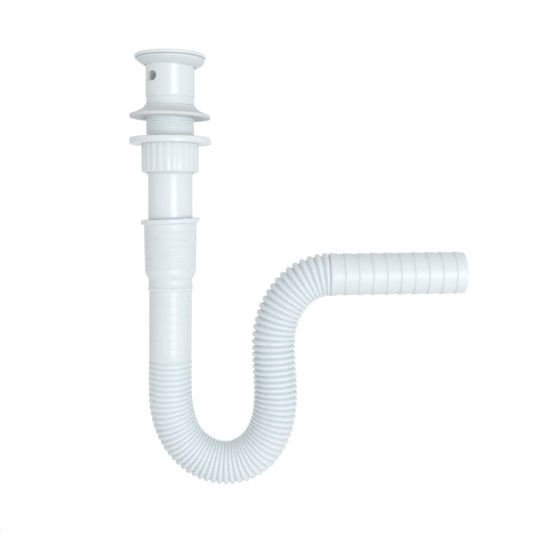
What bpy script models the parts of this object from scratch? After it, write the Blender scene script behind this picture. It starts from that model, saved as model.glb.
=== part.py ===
"""Flexible sink trap: a slotted basin waste with its seals and backnut, and a bellows hose bent to a trap.

Metres, +Z up. The origin is on the axis of the waste, level with the top of its rim.
The waste hangs down from there, and the hose leaves it downwards, turns up and runs out along +X.
"""
import math

import bmesh
import bpy
import numpy as np
from mathutils import Matrix, Vector
from mathutils.geometry import interpolate_bezier

# Fits
CLEARANCE = 0.0003
MERGE = 0.00001
ROUND_STEPS = 40
SMALL_ROUND_STEPS = 16

# Basin waste, depths measured down from the top of the rim
RIM_RADIUS = 0.0307
RIM_THICKNESS = 0.0028
RIM_EDGE = 0.0010
MOUTH_RADIUS = 0.0262
DISH_DEPTH = 0.0085
FLARE_RADIUS = 0.0275
FLARE_DEPTH = 0.0075
TUBE_RADIUS = 0.0210
BORE_RADIUS = 0.0170
THREAD_RADIUS = 0.0207
THREAD_START = 0.0366
THREAD_LENGTH = 0.0655
THREAD_RUN_OUT = 0.0015
TAIL_RADIUS = 0.0190
TAIL_CHAMFER = 0.0008

# Strainer across the throat of the waste
BAR_WIDTH = 0.0030
BAR_DEPTH = 0.0035
BAR_BITE = 0.0015
HUB_RADIUS = 0.0045

# Overflow slots, one on each side of the tube
SLOT_DEPTH = 0.0196
SLOT_WIDTH = 0.0135
SLOT_HEIGHT = 0.0083
SLOT_BEARING = math.radians(225)

# White seal under the rim
GASKET_RADIUS = 0.0294
GASKET_EDGE = 0.0016
GASKET_BELLY_RADIUS = 0.0263
GASKET_BELLY_DEPTH = 0.0041
GASKET_HEIGHT = 0.0066
GASKET_LIP = 0.0006
GASKET_WALL = 0.0010
GASKET_SLACK = 0.0005
GASKET_SLANT = math.radians(2.9)

# Rubber cone seal under the basin
CONE_RADIUS = 0.0346
CONE_TOP_DEPTH = 0.0437
CONE_FLARE = 0.0076
CONE_FLARE_POWER = 0.50
CONE_RIM = 0.0028
CONE_RIM_EDGE = 0.0010
CONE_LIP = 0.0008
CONE_TILT = math.radians(1.0)

# Flat washer and backnut on the thread
WASHER_RADIUS = 0.0350
WASHER_THICKNESS = 0.0054
WASHER_EDGE = 0.0009
WASHER_TOP_DEPTH = 0.0711
NUT_RADIUS = 0.0246
NUT_HEIGHT = 0.0245
NUT_EDGE = 0.0025
NUT_BORE_CHAMFER = 0.0010
FLUTES = 24
FLUTE_RADIUS = 0.0026
FLUTE_DEPTH = 0.0007

# Hose: cuff, neck and sleeve on the tail of the waste
CUFF_TOP_DEPTH = 0.1408
CUFF_RIM_RADIUS = 0.0252
CUFF_RIM_HEIGHT = 0.0038
CUFF_RIM_SLANT = math.radians(2.6)
CUFF_SLANT_FADE = 0.0060
CUFF_RADIUS = 0.0226
CUFF_END_RADIUS = 0.0217
CUFF_LENGTH = 0.0470
CUFF_MOUTH = 0.0014
SOCKET_FLOOR = 0.0035
RING_COUNT = 6
RING_FIRST = 0.0119
RING_PITCH = 0.00575
RING_DEPTH = 0.0004
RING_HALF_WIDTH = 0.0006
CONE_LENGTH = 0.0043
NECK_RADIUS = 0.0187
NECK_LENGTH = 0.0076
COLLAR_RADIUS = 0.0194
COLLAR_LENGTH = 0.0024
SLEEVE_RADIUS = 0.01825
SLEEVE_LENGTH = 0.0620
SLEEVE_WALL = 0.0014
STEP = 0.0003

# Hose: bellows
FOLDS = 72
FOLD_RADIUS = 0.0188
FOLD_DEPTH_SHARE = 0.33
FOLD_WALL = 0.0011
FOLD_PITCHES = (
    (0.00, 0.0046), (0.13, 0.0045), (0.29, 0.0037), (0.36, 0.00365), (0.72, 0.00515), (1.00, 0.00525),
)

# Hose: route of its centre line below the neck, as held in the trap shape
LEG_LENGTH = 0.0905
LEG_SET_BACK = 0.0028
LEG_LEAN = math.radians(3.5)
BEND_IN_WIDTH = 0.0484
BEND_IN_DEPTH = 0.0610
BEND_OUT_WIDTH = 0.0426
BEND_OUT_HEIGHT = 0.0592
BEND_SET_BACK = 0.0060
RISER_LENGTH = 0.0450
RISER_DRIFT = 0.0017
RISER_SET_BACK = 0.0023
RISER_LEAN = math.radians(3)
ELBOW_WIDTH = 0.0490
ELBOW_HEIGHT = 0.0602
OUTLET_RISE = math.radians(0.8)
OUTLET_SWING = math.radians(0.5)

# Hose: stepped outlet spigot
SPIGOT_STEPS = 10
SPIGOT_STEP_LENGTH = 0.0120
SPIGOT_LAST_LENGTH = 0.0100
SPIGOT_FIRST_RADIUS = 0.0190
SPIGOT_LARGE_RADIUS = 0.0186
SPIGOT_SMALL_RADIUS = 0.0177
SPIGOT_WALL = 0.0016
SPIGOT_EDGE = 0.0010

# Fineness of the hose
HOSE_SIDES = 20
ROUTE_POINTS = 64
FOLD_SAMPLES = 800
QUARTER_HANDLE = 0.5523
STRAIGHT_HANDLE = 1 / 3


def clear_scene():
    for obj in list(bpy.data.objects):
        bpy.data.objects.remove(obj, do_unlink=True)


def make_collection(name):
    collection = bpy.data.collections.new(name)
    bpy.context.scene.collection.children.link(collection)
    return collection


def make_material(name, colour, roughness):
    material = bpy.data.materials.new(name)
    material.use_nodes = True
    shader = material.node_tree.nodes["Principled BSDF"]
    shader.inputs["Base Color"].default_value = (*colour, 1.0)
    shader.inputs["Roughness"].default_value = roughness
    shader.inputs["Metallic"].default_value = 0.0
    return material


def evaluated_mesh(obj):
    graph = bpy.context.evaluated_depsgraph_get()
    return bpy.data.meshes.new_from_object(obj.evaluated_get(graph))


def shade_round(mesh):
    mesh.shade_smooth()
    mesh.set_sharp_from_angle(angle=math.radians(32))


def bake(obj):
    """Replace the object's mesh with what its modifiers make of it."""
    mesh = evaluated_mesh(obj)
    obj.modifiers.clear()
    obj.data = mesh
    shade_round(mesh)
    return obj


def corner(centre_r, centre_z, radius, start, end, steps):
    """Points of an arc in the turning plane, angles in degrees from +R."""
    angles = np.radians(np.linspace(start, end, steps + 1))
    return [(centre_r + radius * math.cos(a), centre_z + radius * math.sin(a)) for a in angles]


def turned(name, outline, collection):
    """Ring turned about Z: the outline runs down the outer side and back up the inner one."""
    mesh = bpy.data.meshes.new(name)
    points = [(r, 0.0, z) for r, z in outline]
    edges = [(i, (i + 1) % len(points)) for i in range(len(points))]
    mesh.from_pydata(points, edges, [])
    obj = bpy.data.objects.new(name, mesh)
    collection.objects.link(obj)
    screw = obj.modifiers.new("Turn", "SCREW")
    screw.axis = "Z"
    screw.angle = math.tau
    screw.steps = ROUND_STEPS
    screw.render_steps = ROUND_STEPS
    screw.use_merge_vertices = True
    screw.merge_threshold = MERGE
    return obj


def as_cutter(obj):
    obj.hide_render = True
    obj.display_type = "WIRE"
    return obj


def combine(obj, other, operation):
    boolean = obj.modifiers.new(operation.title(), "BOOLEAN")
    boolean.operation = operation
    boolean.solver = "EXACT"
    boolean.object = other


def bmesh_object(name, shape, collection):
    mesh = bpy.data.meshes.new(name)
    shape.to_mesh(mesh)
    shape.free()
    obj = bpy.data.objects.new(name, mesh)
    collection.objects.link(obj)
    return obj


def strainer_bar(name, bearing, cutters):
    """One bar across the throat, let into the wall at both ends."""
    shape = bmesh.new()
    length = 2 * (BORE_RADIUS + BAR_BITE)
    size = Matrix.Diagonal((length, BAR_WIDTH, BAR_DEPTH, 1.0))
    place = Matrix.Translation((0.0, 0.0, -DISH_DEPTH - BAR_DEPTH / 2))
    bmesh.ops.create_cube(shape, size=1.0, matrix=place @ Matrix.Rotation(bearing, 4, "Z") @ size)
    return as_cutter(bmesh_object(name, shape, cutters))


def strainer_hub(cutters):
    shape = bmesh.new()
    place = Matrix.Translation((0.0, 0.0, -DISH_DEPTH - BAR_DEPTH / 2))
    bmesh.ops.create_cone(
        shape, cap_ends=True, segments=SMALL_ROUND_STEPS, radius1=HUB_RADIUS, radius2=HUB_RADIUS,
        depth=BAR_DEPTH + 2 * CLEARANCE, matrix=place,
    )
    return as_cutter(bmesh_object("strainer_hub", shape, cutters))


def overflow_cutter(cutters):
    """Round-ended bar through both walls of the tube, which leaves one slot on each side."""
    shape = bmesh.new()
    end_radius = SLOT_HEIGHT / 2
    stretch = SLOT_WIDTH / 2 - end_radius
    bmesh.ops.create_cone(
        shape, cap_ends=True, segments=SMALL_ROUND_STEPS, radius1=end_radius, radius2=end_radius,
        depth=4 * TUBE_RADIUS,
    )
    for vertex in shape.verts:
        if abs(vertex.co.x) > MERGE:
            vertex.co.x += math.copysign(stretch, vertex.co.x)
    lay = Matrix.Rotation(SLOT_BEARING, 4, "Z") @ Matrix.Rotation(math.radians(90), 4, "Y")
    turn = Matrix.Rotation(math.radians(90), 4, "Z")
    place = Matrix.Translation((0.0, 0.0, -SLOT_DEPTH))
    bmesh.ops.transform(shape, matrix=place @ lay @ turn, verts=shape.verts)
    return as_cutter(bmesh_object("overflow_cutter", shape, cutters))


def socket_depth():
    """Depth from the top of the cuff to the floor that stops the tail."""
    return CUFF_LENGTH - SOCKET_FLOOR


def make_waste_body(parts, cutters):
    """Moulded waste: dished flange, slotted tube, thread and tail, with the strainer in its throat.

    The tail is as long as the cuff's place asks: it ends just above the floor of the socket.
    """
    thread_end = THREAD_START + THREAD_LENGTH
    length = CUFF_TOP_DEPTH + socket_depth() - CLEARANCE
    thread_step = TUBE_RADIUS - THREAD_RADIUS
    outline = corner(RIM_RADIUS - RIM_EDGE, -RIM_EDGE, RIM_EDGE, 90, 0, 3)
    outline += corner(RIM_RADIUS - RIM_EDGE, RIM_EDGE - RIM_THICKNESS, RIM_EDGE, 0, -90, 3)
    outline += [
        (FLARE_RADIUS, -RIM_THICKNESS),
        (TUBE_RADIUS, -FLARE_DEPTH),
        (TUBE_RADIUS, -THREAD_START + thread_step),
        (THREAD_RADIUS, -THREAD_START),
        (THREAD_RADIUS, -thread_end),
        (TAIL_RADIUS, -thread_end - THREAD_RUN_OUT),
        (TAIL_RADIUS, -length + TAIL_CHAMFER),
        (TAIL_RADIUS - TAIL_CHAMFER, -length),
        (BORE_RADIUS, -length),
        (BORE_RADIUS, -DISH_DEPTH),
        (MOUTH_RADIUS, 0.0),
    ]
    body = turned("waste_body", outline, parts)
    combine(body, strainer_bar("strainer_bar_x", 0.0, cutters), "UNION")
    combine(body, strainer_bar("strainer_bar_y", math.radians(90), cutters), "UNION")
    combine(body, strainer_hub(cutters), "UNION")
    combine(body, overflow_cutter(cutters), "DIFFERENCE")
    return bake(body)


def slant(mesh, full_depth, angle):
    """Tip a piece's lower part, low towards +X: the slant grows from nothing at the top to the full depth."""
    for vertex in mesh.vertices:
        share = min(1.0, max(0.0, -vertex.co.z / full_depth))
        vertex.co.z -= share * vertex.co.x * math.tan(angle)


def make_flange_gasket(parts):
    """Bellied ring, level against the rim above, with its foot pulled askew on the tube."""
    bore = TUBE_RADIUS + GASKET_SLACK
    outline = [
        (GASKET_RADIUS, 0.0),
        (GASKET_RADIUS, -GASKET_EDGE),
        (GASKET_BELLY_RADIUS, -GASKET_BELLY_DEPTH),
        (bore + GASKET_LIP, -GASKET_HEIGHT),
        (bore, -GASKET_HEIGHT),
        (bore, GASKET_WALL - GASKET_HEIGHT),
        (FLARE_RADIUS + CLEARANCE, 0.0),
    ]
    ring = bake(turned("flange_gasket", outline, parts))
    slant(ring.data, GASKET_EDGE, GASKET_SLANT)
    ring.location = (0.0, 0.0, -RIM_THICKNESS - CLEARANCE)
    return ring


def make_cone_washer(parts):
    """Rubber cone with a concave flare and a thick round rim, loose enough to pass over the tube."""
    bore = TUBE_RADIUS + CLEARANCE
    top_radius = bore + CONE_LIP
    flare_end = CONE_RADIUS - CONE_RIM_EDGE
    shares = np.linspace(0.0, 1.0, 6) ** 1.5
    outline = [
        (top_radius + (flare_end - top_radius) * share, -CONE_FLARE * share ** CONE_FLARE_POWER)
        for share in shares
    ]
    bottom = -CONE_FLARE - CONE_RIM
    outline += corner(flare_end, -CONE_FLARE - CONE_RIM_EDGE, CONE_RIM_EDGE, 45, 0, 1)
    outline += corner(flare_end, bottom + CONE_RIM_EDGE, CONE_RIM_EDGE, 0, -90, 2)
    outline += [(bore, bottom), (bore, 0.0)]
    washer = bake(turned("cone_washer", outline, parts))
    washer.location = (0.0, 0.0, -CONE_TOP_DEPTH)
    washer.rotation_euler = (0.0, CONE_TILT, 0.0)
    return washer


def make_flat_washer(parts):
    bore = THREAD_RADIUS + CLEARANCE
    outline = corner(WASHER_RADIUS - WASHER_EDGE, -WASHER_EDGE, WASHER_EDGE, 90, 0, 2)
    outline += corner(WASHER_RADIUS - WASHER_EDGE, WASHER_EDGE - WASHER_THICKNESS, WASHER_EDGE, 0, -90, 2)
    outline += [(bore, -WASHER_THICKNESS), (bore, 0.0)]
    washer = bake(turned("flat_washer", outline, parts))
    washer.location = (0.0, 0.0, -WASHER_TOP_DEPTH)
    return washer


def flute_cutter(cutters):
    """A circle of upright bars, each sunk into the rim of the nut by the depth of a flute."""
    shape = bmesh.new()
    reach = NUT_RADIUS + FLUTE_RADIUS - FLUTE_DEPTH
    for flute in range(FLUTES):
        bearing = math.tau * (flute + 0.5) / FLUTES
        place = Matrix.Translation((reach * math.cos(bearing), reach * math.sin(bearing), -NUT_HEIGHT / 2))
        bmesh.ops.create_cone(
            shape, cap_ends=True, segments=SMALL_ROUND_STEPS, radius1=FLUTE_RADIUS, radius2=FLUTE_RADIUS,
            depth=2 * NUT_HEIGHT, matrix=place @ Matrix.Rotation(bearing, 4, "Z"),
        )
    return as_cutter(bmesh_object("flute_cutter", shape, cutters))


def make_backnut(parts, cutters):
    """Nut with shallow upright flutes and a rounded lower edge."""
    bore = THREAD_RADIUS + CLEARANCE
    outline = [(NUT_RADIUS, 0.0)]
    outline += corner(NUT_RADIUS - NUT_EDGE, NUT_EDGE - NUT_HEIGHT, NUT_EDGE, 0, -90, 4)
    outline += [
        (bore + NUT_BORE_CHAMFER, -NUT_HEIGHT),
        (bore, NUT_BORE_CHAMFER - NUT_HEIGHT),
        (bore, -NUT_BORE_CHAMFER),
        (bore + NUT_BORE_CHAMFER, 0.0),
    ]
    nut = turned("backnut", outline, parts)
    cutter = flute_cutter(cutters)
    combine(nut, cutter, "DIFFERENCE")
    bake(nut)
    top = WASHER_TOP_DEPTH + WASHER_THICKNESS + CLEARANCE
    nut.location = (0.0, 0.0, -top)
    cutter.location = nut.location
    return nut


def stretch_between(start, start_direction, end, end_direction, handle):
    """Curve between two ends: each handle reaches towards the other end by the given share."""
    span = end - start
    first = start + start_direction * abs(span.dot(start_direction)) * handle
    second = end - end_direction * abs(span.dot(end_direction)) * handle
    return interpolate_bezier(start, first, second, end, ROUTE_POINTS)


def outlet_direction():
    level = math.cos(OUTLET_RISE)
    return Vector((level * math.cos(OUTLET_SWING), level * math.sin(OUTLET_SWING), math.sin(OUTLET_RISE)))


def straight_length():
    """Length of the part of the hose that stays in line with the tail."""
    return CUFF_LENGTH + CONE_LENGTH + NECK_LENGTH + COLLAR_LENGTH


def spigot_length():
    return (SPIGOT_STEPS - 1) * SPIGOT_STEP_LENGTH + SPIGOT_LAST_LENGTH


def hose_route():
    """Points along the centre line, from cuff to spigot, and the distance of each from the cuff's top."""
    down = Vector((0.0, 0.0, -1.0))
    leaning = Vector((0.0, math.sin(LEG_LEAN), -math.cos(LEG_LEAN)))
    rising = Vector((0.0, math.sin(RISER_LEAN), math.cos(RISER_LEAN)))
    across = Vector((1.0, 0.0, 0.0))
    outlet = outlet_direction()

    top = Vector((0.0, 0.0, 0.0))
    neck = top + down * straight_length()
    leg = neck + Vector((0.0, LEG_SET_BACK, -LEG_LENGTH))
    lowest = leg + Vector((BEND_IN_WIDTH, BEND_SET_BACK - LEG_SET_BACK, -BEND_IN_DEPTH))
    riser = lowest + Vector((BEND_OUT_WIDTH, 0.0, BEND_OUT_HEIGHT))
    elbow = riser + Vector((-RISER_DRIFT, RISER_SET_BACK, RISER_LENGTH))
    spigot = elbow + Vector((ELBOW_WIDTH, 0.0, ELBOW_HEIGHT))
    end = spigot + outlet * spigot_length()

    stretches = [
        [top, neck],
        stretch_between(neck, down, leg, leaning, STRAIGHT_HANDLE),
        stretch_between(leg, leaning, lowest, across, QUARTER_HANDLE),
        stretch_between(lowest, across, riser, rising, QUARTER_HANDLE),
        stretch_between(riser, rising, elbow, rising, STRAIGHT_HANDLE),
        stretch_between(elbow, rising, spigot, outlet, QUARTER_HANDLE),
        [spigot, end + outlet * SPIGOT_STEP_LENGTH],
    ]
    points = [top - down * SPIGOT_STEP_LENGTH]
    for stretch in stretches:
        points += [Vector(p) for p in stretch if (Vector(p) - points[-1]).length > MERGE]
    points = np.array(points)
    steps = np.linalg.norm(np.diff(points, axis=0), axis=1)
    distances = np.concatenate(([0.0], np.cumsum(steps))) - SPIGOT_STEP_LENGTH
    return points, distances


def fold_places(start, end):
    """Distances of the grooves: close together in the bend, wide apart where the hose is drawn out."""
    along = np.linspace(start, end, FOLD_SAMPLES)
    shares, pitches = zip(*FOLD_PITCHES)
    pitch = np.interp((along - start) / (end - start), shares, pitches)
    density = 1.0 / pitch
    count = np.concatenate(([0.0], np.cumsum((density[1:] + density[:-1]) / 2 * np.diff(along))))
    count *= FOLDS / count[-1]
    return np.interp(np.arange(FOLDS + 1), count, along)


def cuff_profile():
    """Distance and radius pairs for the outside of the cuff, neck, collar and sleeve."""
    profile = [
        (0.0, CUFF_RIM_RADIUS - STEP),
        (STEP, CUFF_RIM_RADIUS),
        (CUFF_RIM_HEIGHT - STEP, CUFF_RIM_RADIUS),
        (CUFF_RIM_HEIGHT, CUFF_RADIUS),
    ]
    taper = (CUFF_END_RADIUS - CUFF_RADIUS) / (CUFF_LENGTH - CUFF_RIM_HEIGHT)
    for ring in range(RING_COUNT):
        middle = RING_FIRST + ring * RING_PITCH
        radius = CUFF_RADIUS + taper * (middle - CUFF_RIM_HEIGHT)
        profile += [
            (middle - RING_HALF_WIDTH, radius),
            (middle, radius - RING_DEPTH),
            (middle + RING_HALF_WIDTH, radius),
        ]
    cone_end = CUFF_LENGTH + CONE_LENGTH
    collar = cone_end + NECK_LENGTH
    sleeve = collar + COLLAR_LENGTH
    profile += [
        (CUFF_LENGTH, CUFF_END_RADIUS),
        (cone_end, NECK_RADIUS),
        (collar, NECK_RADIUS),
        (collar + STEP, COLLAR_RADIUS),
        (sleeve - STEP, COLLAR_RADIUS),
        (sleeve, SLEEVE_RADIUS),
        (sleeve + SLEEVE_LENGTH, SLEEVE_RADIUS),
    ]
    return profile


def fold_profile(grooves):
    """A crest in the middle of each fold, and a groove as deep as the fold is wide allows."""
    pitches = np.gradient(grooves)
    profile = []
    for place, following, pitch in zip(grooves[:-1], grooves[1:], pitches):
        profile.append((place, FOLD_RADIUS - FOLD_DEPTH_SHARE * pitch))
        profile.append(((place + following) / 2, FOLD_RADIUS))
    return profile


def spigot_profile(start):
    """Saw-tooth steps, each tapering towards the end of the spigot."""
    profile = [(start, SPIGOT_SMALL_RADIUS)]
    for step in range(SPIGOT_STEPS):
        place = start + step * SPIGOT_STEP_LENGTH
        end = start + spigot_length() if step == SPIGOT_STEPS - 1 else place + SPIGOT_STEP_LENGTH
        large = SPIGOT_FIRST_RADIUS if step == 0 else SPIGOT_LARGE_RADIUS
        profile += [(place + STEP, large), (end, SPIGOT_SMALL_RADIUS)]
    last_place, last_radius = profile.pop()
    profile += [(last_place - SPIGOT_EDGE, last_radius), (last_place, last_radius - SPIGOT_EDGE / 2)]
    return profile


def bore_profile(grooves, end):
    """Inside of the hose: socket for the tail with a stop for its end, then the waterway."""
    socket = TAIL_RADIUS + CLEARANCE
    stop = socket_depth()
    sleeve_bore = SLEEVE_RADIUS - SLEEVE_WALL
    deepest = FOLD_DEPTH_SHARE * np.gradient(grooves).max()
    waterway = FOLD_RADIUS - deepest - FOLD_WALL
    profile = [
        (-SPIGOT_STEP_LENGTH / 2, socket + CUFF_MOUTH),
        (0.0, socket + CUFF_MOUTH),
        (CUFF_MOUTH, socket),
        (stop, socket),
        (stop + STEP, sleeve_bore),
        (grooves[0] - SLEEVE_WALL, sleeve_bore),
    ]
    profile += [(place, waterway) for place in grooves[:-1:2]]
    profile += [
        (grooves[-1], SPIGOT_SMALL_RADIUS - SPIGOT_WALL),
        (end + SPIGOT_STEP_LENGTH / 2, SPIGOT_SMALL_RADIUS - SPIGOT_WALL),
    ]
    return profile


def tube_along(name, profile, route, collection):
    """Curve along the route whose thickness follows the profile, made a mesh with its caps welded."""
    points, distances = route
    curve = bpy.data.curves.new(name, "CURVE")
    curve.dimensions = "3D"
    curve.bevel_depth = FOLD_RADIUS
    curve.bevel_resolution = HOSE_SIDES // 2 - 2
    curve.use_fill_caps = True
    spline = curve.splines.new("POLY")
    spline.points.add(len(profile) - 1)
    for point, (place, radius) in zip(spline.points, profile):
        at = [np.interp(place, distances, points[:, axis]) for axis in range(3)]
        point.co = (*at, 1.0)
        point.radius = radius / FOLD_RADIUS
    guide = bpy.data.objects.new(name, curve)
    collection.objects.link(guide)
    mesh = evaluated_mesh(guide)
    bpy.data.objects.remove(guide, do_unlink=True)
    shape = bmesh.new()
    shape.from_mesh(mesh)
    bmesh.ops.remove_doubles(shape, verts=shape.verts, dist=MERGE)
    bmesh.ops.recalc_face_normals(shape, faces=shape.faces)
    bpy.data.meshes.remove(mesh)
    return bmesh_object(name, shape, collection)


def slant_rim(mesh):
    """Tip the rim of the cuff, high towards +X, and let the slant fade out below it."""
    for vertex in mesh.vertices:
        depth = -vertex.co.z
        fade = min(1.0, max(0.0, (CUFF_RIM_HEIGHT + CUFF_SLANT_FADE - depth) / CUFF_SLANT_FADE))
        vertex.co.z += fade * vertex.co.x * math.tan(CUFF_RIM_SLANT)


def make_hose(parts, cutters):
    """One blown pipe: cuff, neck, sleeve, bellows and stepped spigot."""
    route = hose_route()
    length = route[1][-1] - SPIGOT_STEP_LENGTH
    bellows_start = straight_length() + SLEEVE_LENGTH
    spigot_start = length - spigot_length()
    grooves = fold_places(bellows_start + STEP, spigot_start)

    outside = cuff_profile() + fold_profile(grooves) + spigot_profile(spigot_start)
    hose = tube_along("hose", outside, route, parts)
    bore = as_cutter(tube_along("hose_bore", bore_profile(grooves, length), route, cutters))
    combine(hose, bore, "DIFFERENCE")
    bake(hose)
    slant_rim(hose.data)
    for piece in (hose, bore):
        piece.location = (0.0, 0.0, -CUFF_TOP_DEPTH)
    return hose


def main():
    clear_scene()
    parts = make_collection("flexible_sink_trap")
    cutters = make_collection("cutters")

    moulded = make_material("moulded_white", (0.83, 0.85, 0.87), 0.32)
    blown = make_material("blown_white", (0.81, 0.83, 0.86), 0.42)
    seal = make_material("seal_white", (0.76, 0.77, 0.78), 0.6)
    rubber = make_material("grey_rubber", (0.62, 0.66, 0.68), 0.7)

    pieces = [
        (make_waste_body(parts, cutters), moulded),
        (make_flange_gasket(parts), seal),
        (make_cone_washer(parts), rubber),
        (make_flat_washer(parts), moulded),
        (make_backnut(parts, cutters), moulded),
        (make_hose(parts, cutters), blown),
    ]
    frame = bpy.data.objects.new("sink_trap_frame", None)
    parts.objects.link(frame)
    for piece, material in pieces:
        piece.data.materials.clear()
        piece.data.materials.append(material)
        piece.parent = frame


main()
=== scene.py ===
import math
import random

import bpy
import bmesh
from mathutils import Matrix, Vector
from mathutils.geometry import interpolate_bezier


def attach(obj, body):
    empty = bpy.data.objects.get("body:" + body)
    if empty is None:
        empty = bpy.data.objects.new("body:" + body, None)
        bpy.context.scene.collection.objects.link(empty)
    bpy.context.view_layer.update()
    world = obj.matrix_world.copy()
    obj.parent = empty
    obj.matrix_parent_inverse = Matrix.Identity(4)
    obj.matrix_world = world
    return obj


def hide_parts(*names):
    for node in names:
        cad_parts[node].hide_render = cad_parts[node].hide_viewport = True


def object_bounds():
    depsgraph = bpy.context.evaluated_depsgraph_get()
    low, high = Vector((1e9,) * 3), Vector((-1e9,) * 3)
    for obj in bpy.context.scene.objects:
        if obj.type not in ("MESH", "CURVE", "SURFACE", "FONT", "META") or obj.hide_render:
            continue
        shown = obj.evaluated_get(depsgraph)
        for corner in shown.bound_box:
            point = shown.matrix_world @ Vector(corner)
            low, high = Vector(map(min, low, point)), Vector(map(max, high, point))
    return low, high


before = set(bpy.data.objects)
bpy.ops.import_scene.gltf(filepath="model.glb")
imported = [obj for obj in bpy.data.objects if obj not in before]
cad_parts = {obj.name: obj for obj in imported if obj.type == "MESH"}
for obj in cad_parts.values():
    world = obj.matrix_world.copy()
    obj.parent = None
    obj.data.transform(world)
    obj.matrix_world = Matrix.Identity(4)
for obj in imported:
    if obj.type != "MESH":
        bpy.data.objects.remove(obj)  # everything below is in metres, +Z up, the rim of the waste at z = 0
cadLow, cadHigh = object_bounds()
print("frame loaded")

fullTurn = math.tau
welded = 0.00001


# Working habits: leave edit mode, drop the selection, name what was just made
def startClean():
    if bpy.context.mode != "OBJECT":
        bpy.ops.object.mode_set(mode="OBJECT")
    bpy.ops.object.select_all(action="DESELECT")


def makeActive(piece):
    startClean()
    piece.select_set(True)
    bpy.context.view_layer.objects.active = piece


def pickVertices(piece, test):
    # select by place, in edit mode
    mesh = bmesh.from_edit_mesh(piece.data)
    bpy.ops.mesh.select_all(action="DESELECT")
    bpy.ops.mesh.select_mode(type="VERT")
    mesh.verts.ensure_lookup_table()
    for vertex in mesh.verts:
        vertex.select = test(vertex)
    mesh.select_flush(True)
    bmesh.update_edit_mesh(piece.data)


def roundCorner(centreRadius, centreHeight, radius, start, end, steps):
    # points of an arc in the turning plane, degrees from outwards
    points = []
    for step in range(steps + 1):
        angle = math.radians(start + (end - start) * step / steps)
        points.append((centreRadius + radius * math.cos(angle), centreHeight + radius * math.sin(angle)))
    return points


def turnOutline(name, outline, sides):
    # a plane merged to a point, drawn along the outline by extrusion, closed, and spun round the axis
    startClean()
    bpy.ops.mesh.primitive_plane_add(size=0.002, location=(0, 0, 0))
    piece = bpy.context.object
    piece.name = name
    bpy.ops.object.mode_set(mode="EDIT")
    bpy.ops.mesh.select_mode(type="VERT")
    bpy.ops.mesh.select_all(action="SELECT")
    bpy.ops.mesh.merge(type="CENTER")
    bpy.ops.transform.translate(value=(outline[0][0], 0, outline[0][1]))
    for (radius, height), (nextRadius, nextHeight) in zip(outline, outline[1:]):
        step = (nextRadius - radius, 0, nextHeight - height)
        bpy.ops.mesh.extrude_region_move(TRANSFORM_OT_translate={"value": step})
    pickVertices(piece, lambda vertex: len(vertex.link_edges) < 2)
    bpy.ops.mesh.edge_face_add()
    bpy.ops.mesh.select_all(action="SELECT")
    bpy.ops.mesh.spin(steps=sides, angle=fullTurn, center=(0, 0, 0), axis=(0, 0, 1))
    bpy.ops.mesh.select_all(action="SELECT")
    bpy.ops.mesh.remove_doubles(threshold=welded)
    bpy.ops.mesh.normals_make_consistent(inside=False)
    bpy.ops.object.mode_set(mode="OBJECT")
    return piece


def applyModifiers(piece):
    makeActive(piece)
    for modifier in list(piece.modifiers):
        bpy.ops.object.modifier_apply(modifier=modifier.name)


def joinOrCut(piece, tool, operation):
    modifier = piece.modifiers.new(operation.title(), "BOOLEAN")
    modifier.operation = operation
    modifier.object = tool
    applyModifiers(piece)
    bpy.data.objects.remove(tool, do_unlink=True)


def smoothShade(piece, angle):
    makeActive(piece)
    bpy.ops.object.shade_smooth_by_angle(angle=math.radians(angle))


def tipPiece(piece, angle, height):
    # tips about a point on the axis, low on the right
    pivot = Matrix.Translation((0, 0, height))
    piece.data.transform(pivot @ Matrix.Rotation(math.radians(angle), 4, "Y") @ pivot.inverted())


# Node groups: each puts out only values or colours, and every material places it with its own numbers
def newGroup(name, inputs, outputs):
    group = bpy.data.node_groups.new(name, "ShaderNodeTree")
    for label, kind, value in inputs:
        socket = group.interface.new_socket(name=label, in_out="INPUT", socket_type=kind)
        socket.default_value = value
    for label, kind in outputs:
        group.interface.new_socket(name=label, in_out="OUTPUT", socket_type=kind)
    return group, group.nodes.new("NodeGroupInput"), group.nodes.new("NodeGroupOutput")


def noiseNode(tree, coordinates, scale, detail):
    noise = tree.nodes.new("ShaderNodeTexNoise")
    noise.inputs["Detail"].default_value = detail
    tree.links.new(coordinates, noise.inputs["Vector"])
    tree.links.new(scale, noise.inputs["Scale"])
    return noise.outputs["Fac"]


def mathNode(tree, operation, first, second, third=None):
    node = tree.nodes.new("ShaderNodeMath")
    node.operation = operation
    for socket, value in zip(node.inputs, (first, second, third)):
        if value is None:
            continue
        if isinstance(value, (int, float)):
            socket.default_value = value
        else:
            tree.links.new(value, socket)
    return node.outputs[0]


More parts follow.
